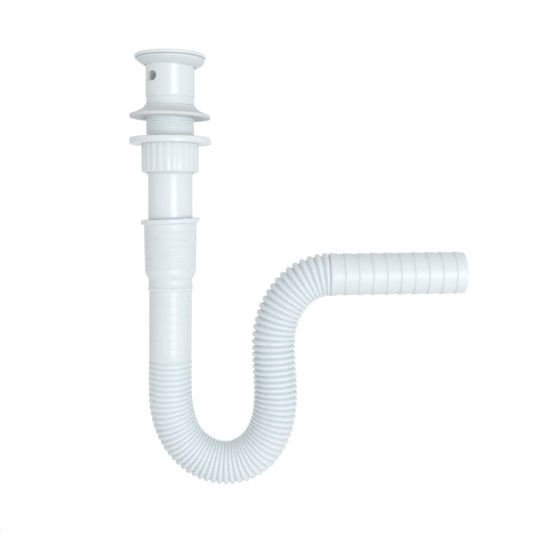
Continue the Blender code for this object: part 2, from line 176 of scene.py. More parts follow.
def makeToneGroup():
    # slow drift of colour and of gloss over a moulded surface
    inputs = [
        ("Vector", "NodeSocketVector", (0, 0, 0)),
        ("Color", "NodeSocketColor", (0.8, 0.8, 0.8, 1)),
        ("Shade Spread", "NodeSocketFloat", 0.03),
        ("Roughness", "NodeSocketFloat", 0.4),
        ("Gloss Spread", "NodeSocketFloat", 0.1),
        ("Scale", "NodeSocketFloat", 40.0),
    ]
    outputs = [("Color", "NodeSocketColor"), ("Roughness", "NodeSocketFloat")]
    group, given, result = newGroup("mouldedTone", inputs, outputs)
    drift = noiseNode(group, given.outputs["Vector"], given.outputs["Scale"], 3.0)
    centred = mathNode(group, "SUBTRACT", drift, 0.5)
    shade = mathNode(group, "MULTIPLY_ADD", centred, given.outputs["Shade Spread"], 1.0)
    tinted = group.nodes.new("ShaderNodeVectorMath")
    tinted.operation = "SCALE"
    group.links.new(given.outputs["Color"], tinted.inputs[0])
    group.links.new(shade, tinted.inputs["Scale"])
    group.links.new(tinted.outputs[0], result.inputs["Color"])
    finer = mathNode(group, "MULTIPLY", given.outputs["Scale"], 6.0)
    speckle = noiseNode(group, given.outputs["Vector"], finer, 5.0)
    spread = mathNode(group, "SUBTRACT", speckle, 0.5)
    roughness = given.outputs["Roughness"]
    gloss = mathNode(group, "MULTIPLY_ADD", spread, given.outputs["Gloss Spread"], roughness)
    group.links.new(gloss, result.inputs["Roughness"])
    return group


def makeGrainGroup():
    # fine orange-peel of the mould over slow waves, as a height in metres
    inputs = [
        ("Vector", "NodeSocketVector", (0, 0, 0)),
        ("Peel Scale", "NodeSocketFloat", 900.0),
        ("Peel Height", "NodeSocketFloat", 0.00001),
        ("Wave Scale", "NodeSocketFloat", 90.0),
        ("Wave Height", "NodeSocketFloat", 0.00004),
    ]
    group, given, result = newGroup("mouldGrain", inputs, [("Height", "NodeSocketFloat")])
    peel = noiseNode(group, given.outputs["Vector"], given.outputs["Peel Scale"], 2.0)
    wave = noiseNode(group, given.outputs["Vector"], given.outputs["Wave Scale"], 1.0)
    peelHeight = mathNode(group, "MULTIPLY", peel, given.outputs["Peel Height"])
    height = mathNode(group, "MULTIPLY_ADD", wave, given.outputs["Wave Height"], peelHeight)
    group.links.new(height, result.inputs["Height"])
    return group


def makeLineGroup():
    # a thin raised line where a coordinate passes zero, such as the join of a mould
    inputs = [
        ("Distance", "NodeSocketFloat", 0.0),
        ("Width", "NodeSocketFloat", 0.0002),
        ("Height", "NodeSocketFloat", 0.00005),
    ]
    group, given, result = newGroup("mouldLine", inputs, [("Height", "NodeSocketFloat")])
    away = mathNode(group, "ABSOLUTE", given.outputs["Distance"], None)
    share = mathNode(group, "DIVIDE", away, given.outputs["Width"])
    ridge = mathNode(group, "SUBTRACT", 1.0, share)
    ridge = mathNode(group, "MAXIMUM", ridge, 0.0)
    height = mathNode(group, "MULTIPLY", ridge, given.outputs["Height"])
    group.links.new(height, result.inputs["Height"])
    return group


toneGroup = makeToneGroup()
grainGroup = makeGrainGroup()
lineGroup = makeLineGroup()


def placeGroup(tree, group, values):
    node = tree.nodes.new("ShaderNodeGroup")
    node.node_tree = group
    for label, value in values.items():
        if isinstance(value, (int, float, tuple)):
            node.inputs[label].default_value = value
        else:
            tree.links.new(value, node.inputs[label])
    return node


def startMaterial(name):
    material = bpy.data.materials.new(name)
    material.use_nodes = True
    tree = material.node_tree
    place = tree.nodes.new("ShaderNodeTexCoord").outputs["Object"]
    return material, tree, tree.nodes["Principled BSDF"], place


def placeTone(tree, place, look):
    return placeGroup(tree, toneGroup, {
        "Vector": place, "Color": look["colour"], "Shade Spread": look["shadeSpread"],
        "Roughness": look["roughness"], "Gloss Spread": look["glossSpread"], "Scale": look["driftScale"],
    })


def placeGrain(tree, place, look):
    return placeGroup(tree, grainGroup, {
        "Vector": place, "Peel Height": look["peelHeight"], "Wave Height": look["waveHeight"],
    })


def placeLine(tree, distance, look):
    return placeGroup(tree, lineGroup, {
        "Distance": distance, "Width": look["lineWidth"], "Height": look["lineHeight"],
    })


def finishSurface(tree, shader, tone, height):
    bump = tree.nodes.new("ShaderNodeBump")
    bump.inputs["Strength"].default_value = 1.0
    bump.inputs["Distance"].default_value = 1.0
    tree.links.new(height, bump.inputs["Height"])
    tree.links.new(tone.outputs["Color"], shader.inputs["Base Color"])
    tree.links.new(tone.outputs["Roughness"], shader.inputs["Roughness"])
    tree.links.new(bump.outputs["Normal"], shader.inputs["Normal"])


mouldedWhite = {
    "colour": (0.764, 0.825, 0.845, 1),
    "shadeSpread": 0.03,
    "roughness": 0.30,
    "glossSpread": 0.10,
    "driftScale": 35.0,
    "peelHeight": 0.000003,
    "waveHeight": 0.00002,
    "lineWidth": 0.00018,
    "lineHeight": 0.00006,
    "ior": 1.49,
}


def makeMouldedMaterial(name, look):
    # injection moulded plastic: soft gloss, a mould line front to back
    material, tree, shader, place = startMaterial(name)
    tone = placeTone(tree, place, look)
    grain = placeGrain(tree, place, look)
    split = tree.nodes.new("ShaderNodeSeparateXYZ")
    tree.links.new(place, split.inputs[0])
    line = placeLine(tree, split.outputs["Y"], look)
    height = mathNode(tree, "ADD", grain.outputs["Height"], line.outputs["Height"])
    finishSurface(tree, shader, tone, height)
    shader.inputs["IOR"].default_value = look["ior"]
    return material


blownWhite = {
    "colour": (0.757, 0.818, 0.838, 1),
    "shadeSpread": 0.04,
    "roughness": 0.38,
    "glossSpread": 0.12,
    "driftScale": 28.0,
    "peelHeight": 0.000008,
    "waveHeight": 0.00004,
    "lineWidth": 0.0002,
    "lineHeight": 0.00006,
    "ior": 1.49,
    "translucence": 0.5,
    "lightDepth": 0.002,
}


def makeBlownMaterial(name, look):
    # blow moulded pipe: satin, with the mould line along both sides, which follows the bends
    material, tree, shader, place = startMaterial(name)
    tone = placeTone(tree, place, look)
    grain = placeGrain(tree, place, look)
    side = tree.nodes.new("ShaderNodeAttribute")
    side.attribute_name = "fromMouldLine"
    line = placeLine(tree, side.outputs["Fac"], look)
    height = mathNode(tree, "ADD", grain.outputs["Height"], line.outputs["Height"])
    finishSurface(tree, shader, tone, height)
    shader.inputs["IOR"].default_value = look["ior"]
    # the thin wall lets a little light through, which softens every groove
    shader.inputs["Subsurface Weight"].default_value = look["translucence"]
    shader.inputs["Subsurface Radius"].default_value = (1.0, 1.0, 1.0)
    shader.inputs["Subsurface Scale"].default_value = look["lightDepth"]
    return material


sealWhite = {
    "colour": (0.72, 0.775, 0.795, 1),
    "shadeSpread": 0.05,
    "roughness": 0.55,
    "glossSpread": 0.15,
    "driftScale": 60.0,
    "peelHeight": 0.000015,
    "waveHeight": 0.00008,
    "ior": 1.45,
}

greyRubber = {
    "colour": (0.70, 0.735, 0.745, 1),
    "shadeSpread": 0.08,
    "roughness": 0.6,
    "glossSpread": 0.18,
    "driftScale": 60.0,
    "peelHeight": 0.000015,
    "waveHeight": 0.00008,
    "ior": 1.45,
}


def makeRubberMaterial(name, look):
    # soft seal: matt, with a finer and deeper grain
    material, tree, shader, place = startMaterial(name)
    tone = placeTone(tree, place, look)
    grain = placeGrain(tree, place, look)
    finishSurface(tree, shader, tone, grain.outputs["Height"])
    shader.inputs["IOR"].default_value = look["ior"]
    return material


mouldedMaterial = makeMouldedMaterial("mouldedWhite", mouldedWhite)
blownMaterial = makeBlownMaterial("blownWhite", blownWhite)
sealMaterial = makeRubberMaterial("sealWhite", sealWhite)
rubberMaterial = makeRubberMaterial("greyRubber", greyRubber)
print("materials made")


def dressPiece(piece, material, body, node):
    piece.data.materials.clear()
    piece.data.materials.append(material)
    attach(piece, body)
    if node:
        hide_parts(node)


# Basin waste
waste = {
    "sides": 128,
    "rimRadius": 0.0307,
    "rimThickness": 0.0028,
    "rimEdge": 0.0009,
    "mouthRadius": 0.0262,
    "dishDepth": 0.0085,
    "flareRadius": 0.0275,
    "flareDepth": 0.0075,
    "tubeRadius": 0.0210,
    "boreRadius": 0.0170,
    "threadStart": 0.0366,
    "threadRoot": 0.0201,
    "threadLength": 0.0655,
    "collarRadius": 0.0203,
    "tailRadius": 0.0190,
    "length": 0.1840,
    "barWidth": 0.0030,
    "barDepth": 0.0035,
    "barBite": 0.0015,
    "hubRadius": 0.0045,
    "slotDepth": 0.0196,
    "slotWidth": 0.0135,
    "slotHeight": 0.0083,
    "slotBearing": 45.0,
}


def makeStrainerBar(size, turned):
    startClean()
    bpy.ops.mesh.primitive_cube_add(size=1, location=(0, 0, -size["dishDepth"] - size["barDepth"] / 2))
    bar = bpy.context.object
    bar.scale = (2 * (size["boreRadius"] + size["barBite"]), size["barWidth"], size["barDepth"])
    bar.rotation_euler = (0, 0, turned)
    bpy.ops.object.transform_apply(location=True, rotation=True, scale=True)
    bpy.ops.object.mode_set(mode="EDIT")
    bpy.ops.mesh.select_all(action="SELECT")
    bpy.ops.mesh.bevel(offset=0.0005, segments=2, affect="EDGES")
    bpy.ops.object.mode_set(mode="OBJECT")
    return bar


def makeStrainer(size):
    # hub with two bars across it, which reach into the wall of the throat
    startClean()
    hubHeight = -size["dishDepth"] - size["barDepth"] / 2
    hubOutline = [
        (size["hubRadius"] - 0.0006, size["barDepth"] / 2 + 0.0003),
        (size["hubRadius"] - 0.0002, size["barDepth"] / 2 + 0.0002),
        (size["hubRadius"], size["barDepth"] / 2 - 0.0003),
        (size["hubRadius"], -size["barDepth"] / 2 - 0.0003),
        (0.0012, -size["barDepth"] / 2 - 0.0003),
        (0.0012, size["barDepth"] / 2 + 0.0003),
    ]
    hub = turnOutline("strainer", [(radius, hubHeight + height) for radius, height in hubOutline], 48)
    joinOrCut(hub, makeStrainerBar(size, 0.0), "UNION")
    joinOrCut(hub, makeStrainerBar(size, math.radians(90)), "UNION")
    return hub


def makeOverflowCutter(size):
    # a bar with round ends, laid through both walls of the tube
    startClean()
    endRadius = size["slotHeight"] / 2
    bpy.ops.mesh.primitive_cylinder_add(vertices=48, radius=endRadius, depth=4 * size["tubeRadius"])
    cutter = bpy.context.object
    stretch = size["slotWidth"] / 2 - endRadius
    bpy.ops.object.mode_set(mode="EDIT")
    for side in (-1, 1):
        pickVertices(cutter, lambda vertex: vertex.co.x * side > welded)
        bpy.ops.transform.translate(value=(side * stretch, 0, 0))
    bpy.ops.object.mode_set(mode="OBJECT")
    bearing = Matrix.Rotation(math.radians(-size["slotBearing"]), 4, "Z")
    laidDown = Matrix.Rotation(math.radians(90), 4, "X")
    cutter.data.transform(Matrix.Translation((0, 0, -size["slotDepth"])) @ bearing @ laidDown)
    return cutter


def makeWaste(size):
    threadEnd = size["threadStart"] + size["threadLength"]
    edge = size["rimEdge"]
    outline = roundCorner(size["rimRadius"] - edge, -edge, edge, 90, 0, 6)
    outline += roundCorner(size["rimRadius"] - edge, edge - size["rimThickness"], edge, 0, -90, 6)
    outline += [
        (size["flareRadius"], -size["rimThickness"]),
        (size["flareRadius"] - 0.0006, -size["rimThickness"] - 0.0002),
        (size["tubeRadius"] + 0.0006, -size["flareDepth"] + 0.0005),
        (size["tubeRadius"], -size["flareDepth"] - 0.0006),
        (size["tubeRadius"], -size["threadStart"] + 0.0008),
        (size["tubeRadius"] - 0.0002, -size["threadStart"] + 0.0003),
        (size["threadRoot"], -size["threadStart"]),
        (size["threadRoot"], -threadEnd + 0.0012),
        (size["collarRadius"], -threadEnd + 0.0008),
        (size["collarRadius"], -threadEnd),
        (size["tailRadius"], -threadEnd - 0.0009),
        (size["tailRadius"], -size["length"] + 0.0008),
        (size["tailRadius"] - 0.0003, -size["length"] + 0.0002),
        (size["tailRadius"] - 0.0008, -size["length"]),
        (size["boreRadius"] + 0.0003, -size["length"]),
        (size["boreRadius"], -size["length"] + 0.0003),
        (size["boreRadius"], -size["dishDepth"] - 0.0006),
        (size["boreRadius"] + 0.0005, -size["dishDepth"]),
        (size["mouthRadius"] - 0.0005, -0.0006),
        (size["mouthRadius"] + 0.0004, 0.0),
    ]
    piece = turnOutline("basinWaste", outline, size["sides"])
    joinOrCut(piece, makeOverflowCutter(size), "DIFFERENCE")
    joinOrCut(piece, makeStrainer(size), "UNION")
    smoothShade(piece, 35)
    return piece


wastePiece = makeWaste(waste)
dressPiece(wastePiece, mouldedMaterial, "waste", "waste_body")
print("basin waste made")


# Thread: one ridge wound down the tube by the Screw modifier
thread = {
    "pitch": 0.0025,
    "stepsPerTurn": 64,
    "foot": 0.0198,
    "crest": 0.0207,
    "footWidth": 0.0022,
    "crestWidth": 0.0011,
    "crestRound": 0.00022,
    "overlap": 0.0001,
}


def makeThread(size, tube):
    turns = int((tube["threadLength"] - size["footWidth"]) / size["pitch"])
    startClean()
    bpy.ops.mesh.primitive_plane_add(size=1, location=(0, 0, 0), rotation=(math.radians(90), 0, 0))
    ridge = bpy.context.object
    ridge.name = "threadRidge"
    bpy.ops.object.transform_apply(location=True, rotation=True, scale=True)
    bpy.ops.object.mode_set(mode="EDIT")
    bpy.ops.mesh.select_all(action="SELECT")
    bpy.ops.mesh.delete(type="ONLY_FACE")
    bpy.ops.object.mode_set(mode="OBJECT")
    top = -tube["threadStart"] - size["footWidth"] / 2 + size["overlap"]
    for vertex in ridge.data.vertices:
        outer = vertex.co.x > 0
        width = size["crestWidth"] if outer else size["footWidth"]
        vertex.co.z = top + math.copysign(width / 2, vertex.co.z)
        vertex.co.x = size["crest"] if outer else size["foot"]
    makeActive(ridge)
    bpy.ops.object.mode_set(mode="EDIT")
    pickVertices(ridge, lambda vertex: vertex.co.x > size["foot"] + welded)
    bpy.ops.mesh.bevel(offset=size["crestRound"], segments=2, affect="VERTICES")
    bpy.ops.object.mode_set(mode="OBJECT")
    wind = ridge.modifiers.new("Wind", "SCREW")
    wind.axis = "Z"
    wind.screw_offset = -size["pitch"]
    wind.angle = -fullTurn
    wind.iterations = turns
    wind.steps = size["stepsPerTurn"]
    wind.render_steps = size["stepsPerTurn"]
    wind.use_merge_vertices = False
    applyModifiers(ridge)
    bpy.ops.object.mode_set(mode="EDIT")
    bpy.ops.mesh.select_all(action="SELECT")
    bpy.ops.mesh.remove_doubles(threshold=welded)
    bpy.ops.mesh.select_all(action="DESELECT")
    bpy.ops.mesh.select_mode(type="EDGE")
    bpy.ops.mesh.select_non_manifold(
        extend=False, use_wire=False, use_multi_face=False, use_non_contiguous=False,
    )
    bpy.ops.mesh.edge_face_add()
    bpy.ops.mesh.select_all(action="SELECT")
    bpy.ops.mesh.normals_make_consistent(inside=False)
    bpy.ops.object.mode_set(mode="OBJECT")
    return ridge


threadPiece = makeThread(thread, waste)
smoothShade(threadPiece, 40)
dressPiece(threadPiece, mouldedMaterial, "waste", None)
print("thread made")


# White seal under the rim
gasket = {
    "sides": 112, "radius": 0.0294, "edge": 0.0016, "height": 0.0066, "bore": 0.0215, "lip": 0.0006,
    "bellyRadius": 0.0263, "bellyDepth": 0.0041, "wall": 0.0010,
    "topBore": 0.0278, "round": 0.0004, "slant": 2.9, "seat": 0.0031,
}


def makeGasket(size):
    seat, corner = -size["seat"], size["round"]
    foot = seat - size["height"]
    outline = roundCorner(size["radius"] - corner, seat - corner, corner, 90, 0, 4)
    outline += [
        (size["radius"], seat - size["edge"] + 0.0004),
        (size["radius"] - 0.0003, seat - size["edge"] - 0.0001),
        (size["radius"] - 0.0012, seat - size["edge"] - 0.0010),
        (size["bellyRadius"] + 0.0003, seat - size["bellyDepth"] + 0.0001),
        (size["bellyRadius"] - 0.0012, seat - size["bellyDepth"] - 0.0006),
        (size["bore"] + size["lip"] + 0.0008, foot + 0.0003),
        (size["bore"] + size["lip"], foot),
        (size["bore"] + 0.0002, foot),
        (size["bore"], foot + 0.0002),
        (size["bore"], foot + size["wall"]),
        (size["topBore"], seat),
    ]
    piece = turnOutline("flangeSeal", outline, size["sides"])
    # level against the rim above, pulled askew on the tube below
    for vertex in piece.data.vertices:
        share = min(1.0, max(0.0, (seat - vertex.co.z) / size["edge"]))
        vertex.co.z -= share * vertex.co.x * math.tan(math.radians(size["slant"]))
    smoothShade(piece, 50)
    return piece


gasketPiece = makeGasket(gasket)
dressPiece(gasketPiece, sealMaterial, "waste", "flange_gasket")


# Grey rubber cone seal
cone = {
    "sides": 128, "radius": 0.0346, "top": 0.0437, "flare": 0.0076, "power": 0.58, "rim": 0.0027,
    "edge": 0.0005, "bore": 0.0213, "lip": 0.0008, "tilt": 1.0, "flarePoints": 16, "groove": 0.0004,
}


def makeCone(size):
    top = -size["top"]
    bottom = top - size["flare"] - size["rim"]
    start = size["bore"] + size["lip"]
    end = size["radius"] - size["edge"]
    outline = [(size["bore"] + 0.0002, top), (start - 0.0002, top)]
    for step in range(1, size["flarePoints"] + 1):
        share = (step / size["flarePoints"]) ** 2
        outline.append((start + (end - start) * share, top - size["flare"] * share ** size["power"]))
    rimTop = top - size["flare"] - size["edge"]
    outline += roundCorner(end, rimTop, size["edge"], 60, 0, 5)
    outline += roundCorner(end, bottom + size["edge"], size["edge"], 0, -90, 6)
    outline += [
        (size["bore"] + 0.0030, bottom),
        (size["bore"] + 0.0024, bottom + size["groove"]),
        (size["bore"] + 0.0010, bottom + size["groove"]),
        (size["bore"] + 0.0006, bottom),
        (size["bore"], bottom + 0.0003),
        (size["bore"], top - 0.0002),
    ]
    piece = turnOutline("coneSeal", outline, size["sides"])
    tipPiece(piece, size["tilt"], top)
    smoothShade(piece, 40)
    return piece


conePiece = makeCone(cone)
dressPiece(conePiece, rubberMaterial, "cone_washer", "cone_washer")


# Thick white ring
ring = {"sides": 128, "radius": 0.0350, "thickness": 0.0054, "top": 0.0711, "edge": 0.0009, "bore": 0.0210}


def makeRing(size):
    top = -size["top"]
    bottom = top - size["thickness"]
    outline = roundCorner(size["radius"] - size["edge"], top - size["edge"], size["edge"], 90, 0, 5)
    outline += roundCorner(size["radius"] - size["edge"], bottom + size["edge"], size["edge"], 0, -90, 5)
    outline += [
        (size["bore"] + 0.0004, bottom),
        (size["bore"], bottom + 0.0004),
        (size["bore"], top - 0.0004),
        (size["bore"] + 0.0004, top),
    ]
    piece = turnOutline("thickRing", outline, size["sides"])
    smoothShade(piece, 40)
    return piece


ringPiece = makeRing(ring)
dressPiece(ringPiece, mouldedMaterial, "flat_washer", "flat_washer")
print("seals and ring made")


# Fluted nut
nut = {
    "flutes": 24, "sidesPerFlute": 8, "radius": 0.0246, "height": 0.0245, "top": 0.07655, "edge": 0.0025,
    "topEdge": 0.0003, "bore": 0.0210, "chamfer": 0.0010, "fluteDepth": 0.0006, "edgeSteps": 7,
    "fluteSharpness": 2.0,
}


def makeNut(size):
    top = -size["top"]
    bottom = top - size["height"]
    edge, topEdge = size["edge"], size["topEdge"]
    outline = roundCorner(size["radius"] - topEdge, top - topEdge, topEdge, 90, 0, 3)
    outline += roundCorner(size["radius"] - edge, bottom + edge, edge, 0, -90, size["edgeSteps"])
    outline += [
        (size["bore"] + size["chamfer"], bottom),
        (size["bore"], bottom + size["chamfer"]),
        (size["bore"], top - size["chamfer"]),
        (size["bore"] + size["chamfer"], top),
    ]
    sides = size["flutes"] * size["sidesPerFlute"]
    piece = turnOutline("flutedNut", outline, sides)
    # each flute is a narrow hollow: the columns of the outer wall are drawn in, most at its middle
    bpy.ops.object.mode_set(mode="EDIT")
    outer = size["radius"] - size["edge"] * 0.6
    wall = size["fluteDepth"] / size["radius"]
    for step in range(1, size["sidesPerFlute"] // 2 + 1):
        share = 0.5 - 0.5 * math.cos(fullTurn * step / size["sidesPerFlute"])
        wanted = {step, size["sidesPerFlute"] - step}

        def inFlute(vertex):
            bearing = math.atan2(vertex.co.y, vertex.co.x) / fullTurn * sides
            column = round(bearing) % size["sidesPerFlute"]
            return column in wanted and math.hypot(vertex.co.x, vertex.co.y) > outer

        pickVertices(piece, inFlute)
        shrink = 1 - wall * share ** size["fluteSharpness"]
        bpy.ops.transform.resize(value=(shrink, shrink, 1), center_override=(0, 0, 0))
    bpy.ops.object.mode_set(mode="OBJECT")
    smoothShade(piece, 40)
    return piece


nutPiece = makeNut(nut)
dressPiece(nutPiece, mouldedMaterial, "backnut", "backnut")
print("nut made")


# Hose: a straight blank, turned from its outline, then bent along the route
hose = {
    "sides": 72,
    "top": 0.1408,
    "socket": 0.0193,
    "mouth": 0.0014,
    "stop": 0.0435,
    "rimRadius": 0.0252, "rimHeight": 0.0038, "rimSlant": 2.6, "slantFade": 0.0060,
    "cuffRadius": 0.0226, "cuffEndRadius": 0.0217, "cuffLength": 0.0470,
    "ridges": 6, "firstRidge": 0.0119, "ridgePitch": 0.00575, "ridgeHeight": 0.00045,
    "ridgeShape": (
        (-0.0011, 0.0), (-0.0005, 0.5), (0.0, 1.0), (0.0003, 0.6), (0.0006, -0.5), (0.0014, 0.0),
    ),
    "coneLength": 0.0043, "neckRadius": 0.0187, "neckLength": 0.0076,
    "collarRadius": 0.0194, "collarLength": 0.0024,
    "sleeveRadius": 0.01825, "sleeveLength": 0.0609, "sleeveRings": 8, "sleeveRingPitch": 0.0073,
    "firstSleeveRing": 0.0040,
    "sleeveRingShape": (
        (-0.0020, 0.0), (-0.0008, 0.00010), (0.0, 0.00010), (0.0007, -0.00012), (0.0016, 0.0),
    ),
    "sleeveBore": 0.01685,
    "folds": 71, "foldRadius": 0.0187, "foldBore": 0.0148, "foldBoreDepth": 0.0010,
    "foldPitches": (
        (0.0, 0.00462), (0.14, 0.00450), (0.21, 0.00415), (0.27, 0.00420), (0.40, 0.00430), (0.53, 0.00430),
        (0.58, 0.00450), (0.66, 0.00490), (0.73, 0.00515), (0.83, 0.00520), (0.90, 0.00500), (1.0, 0.00500),
    ),
    "foldDepths": ((0.0, 0.36), (0.12, 0.44), (0.35, 0.58), (0.60, 0.62), (1.0, 0.58)), "foldSwell": 0.0004,
    "foldUnevenness": 0.00008,
    "foldShape": (
        (0.0, 0.0), (0.06, 0.12), (0.13, 0.38), (0.22, 0.70), (0.35, 0.93), (0.50, 1.0),
        (0.65, 0.93), (0.78, 0.70), (0.87, 0.38), (0.94, 0.12),
    ),
    "foldBoreShape": ((0.0, 0.0), (0.2, 0.45), (0.5, 1.0), (0.8, 0.45)),
    "closing": 1.6, "leastDepth": 0.3, "pinch": 0.085, "pinchPlaces": (0.171, 0.193, 0.236, 0.261),
    "spigotSteps": 10, "stepLength": 0.0120, "lastStepLength": 0.0100, "firstStepRadius": 0.0190,
    "stepRadius": 0.0186, "stepEndRadius": 0.0177, "spigotWall": 0.0016, "stepMarks": 5,
    "seed": 7,
}

route = {
    "leg": 0.0905, "legBack": 0.0028, "legLean": 3.5,
    "bendInWidth": 0.0484, "bendInDepth": 0.0610,
    "bendOutWidth": 0.0426, "bendOutHeight": 0.0592, "back": 0.0060,
    "riser": 0.0450, "riserDrift": 0.0017, "riserBack": 0.0023, "riserLean": 3.0,
    "elbowWidth": 0.0490, "elbowHeight": 0.0596,
    "rise": 0.8, "swing": 0.5, "legDrift": 0.0006,
    "handles": ((0.53, 0.618), (0.568, 0.65), (0.492, 0.585)),
}


def straightLength(size):
    return size["cuffLength"] + size["coneLength"] + size["neckLength"] + size["collarLength"]


def spigotLength(size):
    return (size["spigotSteps"] - 1) * size["stepLength"] + size["lastStepLength"]


def routePoints(way, size):
    down, across = Vector((0, 0, -1)), Vector((1, 0, 0))
    legLean, riserLean = math.radians(way["legLean"]), math.radians(way["riserLean"])
    leaning = Vector((0, math.sin(legLean), -math.cos(legLean)))
    rising = Vector((0, math.sin(riserLean), math.cos(riserLean)))
    rise, swing = math.radians(way["rise"]), math.radians(way["swing"])
    outlet = Vector((math.cos(rise) * math.cos(swing), math.cos(rise) * math.sin(swing), math.sin(rise)))
    top = Vector((0, 0, -size["top"]))
    neck = top + down * straightLength(size)
    leg = neck + Vector((-way["legDrift"], way["legBack"], -way["leg"]))
    lowest = neck + Vector((way["bendInWidth"], way["back"], -way["leg"] - way["bendInDepth"]))
    riser = lowest + Vector((way["bendOutWidth"], 0, way["bendOutHeight"]))
    elbow = riser + Vector((-way["riserDrift"], way["riserBack"], way["riser"]))
    spigot = elbow + Vector((way["elbowWidth"], 0, way["elbowHeight"]))
    end = spigot + outlet * spigotLength(size)

    def bend(start, startWay, finish, finishWay, handles):
        span = finish - start
        first = start + startWay * abs(span.dot(startWay)) * handles[0]
        second = finish - finishWay * abs(span.dot(finishWay)) * handles[1]
        return interpolate_bezier(start, first, second, finish, 64)

    third = (1 / 3, 1 / 3)
    intoTrap, outOfTrap, elbowBend = way["handles"]
    stretches = [
        [top - down * size["stepLength"], top, neck],
        bend(neck, down, leg, leaning, third),
        bend(leg, leaning, lowest, across, intoTrap),
        bend(lowest, across, riser, rising, outOfTrap),
        bend(riser, rising, elbow, rising, third),
        bend(elbow, rising, spigot, outlet, elbowBend),
        [spigot, end, end + outlet * size["stepLength"]],
    ]
    points = []
    for stretch in stretches:
        for point in stretch:
            if not points or (Vector(point) - points[-1]).length > welded:
                points.append(Vector(point))
    return points


def between(pairs, share):
    # value at a share of the way, read off a line of (share, value) pairs
    for (lowShare, low), (highShare, high) in zip(pairs, pairs[1:]):
        if share <= highShare:
            break
    return low + (high - low) * (share - lowShare) / (highShare - lowShare)


def foldPlaces(start, end, size):
    # where each fold begins: close together in the bend, wide apart where the hose is drawn out
    samples = 900
    places, counts = [start], [0.0]
    for step in range(samples):
        pitch = between(size["foldPitches"], (step + 0.5) / samples)
        places.append(start + (end - start) * (step + 1) / samples)
        counts.append(counts[-1] + (end - start) / samples / pitch)
    scale = size["folds"] / counts[-1]
    grooves, index = [], 0
    for fold in range(size["folds"] + 1):
        while index < samples - 1 and counts[index + 1] * scale < fold:
            index += 1
        low, high = counts[index] * scale, counts[index + 1] * scale
        grooves.append(places[index] + (places[index + 1] - places[index]) * (fold - low) / (high - low))
    return grooves


def cuffOutline(size):
    # outside of cuff, neck, collar and sleeve as (radius, distance)
    rim, cuff, ridge = size["rimRadius"], size["cuffRadius"], size["ridgeHeight"]
    height = size["rimHeight"]
    points = [
        (rim - 0.0006, 0.0), (rim - 0.0002, 0.0001), (rim, 0.0005),
        (rim, height - 0.0009), (rim - 0.0002, height - 0.0003), (rim - 0.0007, height),
        (cuff + 0.0008, height + 0.0002), (cuff + 0.0002, height + 0.0006), (cuff, height + 0.0014),
    ]
    taper = (size["cuffEndRadius"] - cuff) / (size["cuffLength"] - height)
    for index in range(size["ridges"]):
        middle = size["firstRidge"] + index * size["ridgePitch"]
        radius = cuff + taper * (middle - height)
        points += [(radius + ridge * share, middle + away) for away, share in size["ridgeShape"]]
    coneStart = size["cuffLength"]
    neckStart = coneStart + size["coneLength"]
    collarStart = neckStart + size["neckLength"]
    sleeveStart = collarStart + size["collarLength"]
    neck, collar, sleeve = size["neckRadius"], size["collarRadius"], size["sleeveRadius"]
    points += [
        (size["cuffEndRadius"], coneStart - 0.0012), (size["cuffEndRadius"] - 0.0003, coneStart),
        (neck + 0.0004, neckStart - 0.0004), (neck, neckStart + 0.0006),
        (neck, collarStart - 0.0002), (collar - 0.0002, collarStart + 0.0002),
        (collar, collarStart + 0.0006), (collar, sleeveStart - 0.0006),
        (collar - 0.0002, sleeveStart - 0.0002), (sleeve, sleeveStart + 0.0002),
    ]
    for index in range(size["sleeveRings"]):
        middle = sleeveStart + size["firstSleeveRing"] + index * size["sleeveRingPitch"]
        points += [(sleeve + rise, middle + away) for away, rise in size["sleeveRingShape"]]
    points.append((sleeve, sleeveStart + size["sleeveLength"] - 0.0006))
    return points


def foldOutline(grooves, size, inwards):
    # rounded crest, narrow groove; the bore follows more gently
    shape = size["foldBoreShape"] if inwards else size["foldShape"]
    random.seed(size["seed"])
    points = []
    for start, end in zip(grooves, grooves[1:]):
        pitch = end - start
        along = (start - grooves[0]) / (grooves[-1] - grooves[0])
        swell = size["foldSwell"] * min(1.0, 2 * along) - random.uniform(0.0, size["foldUnevenness"])
        depth = size["foldBoreDepth"] if inwards else between(size["foldDepths"], along) * pitch
        crest = size["foldBore"] if inwards else size["foldRadius"] + swell
        for share, height in shape:
            points.append((crest - depth * (1 - height), start + pitch * share))
    return points


def spigotOutline(start, size):
    # saw-tooth steps, each tapering to the outlet, with the marks that the mould leaves round them
    points = []
    end = size["stepEndRadius"]
    for step in range(size["spigotSteps"]):
        place = start + step * size["stepLength"]
        run = size["stepLength"] if step < size["spigotSteps"] - 1 else size["lastStepLength"]
        large = size["firstStepRadius"] if step == 0 else size["stepRadius"]
        points += [(end, place), (end + (large - end) * 0.6, place + 0.0002), (large, place + 0.0007)]
        for mark in range(1, size["stepMarks"] + 1):
            share = mark / (size["stepMarks"] + 1)
            radius = large + (end - large) * share
            spot = place + 0.0007 + (run - 0.0017) * share
            points += [(radius, spot - 0.0004), (radius - 0.00005, spot), (radius + 0.00002, spot + 0.0004)]
        points.append((end + 0.00003, place + run - 0.0004))
    points.pop()
    last = start + spigotLength(size)
    points += roundCorner(end - 0.0010, last - 0.0010, 0.0010, 0, 90, 4)
    return points


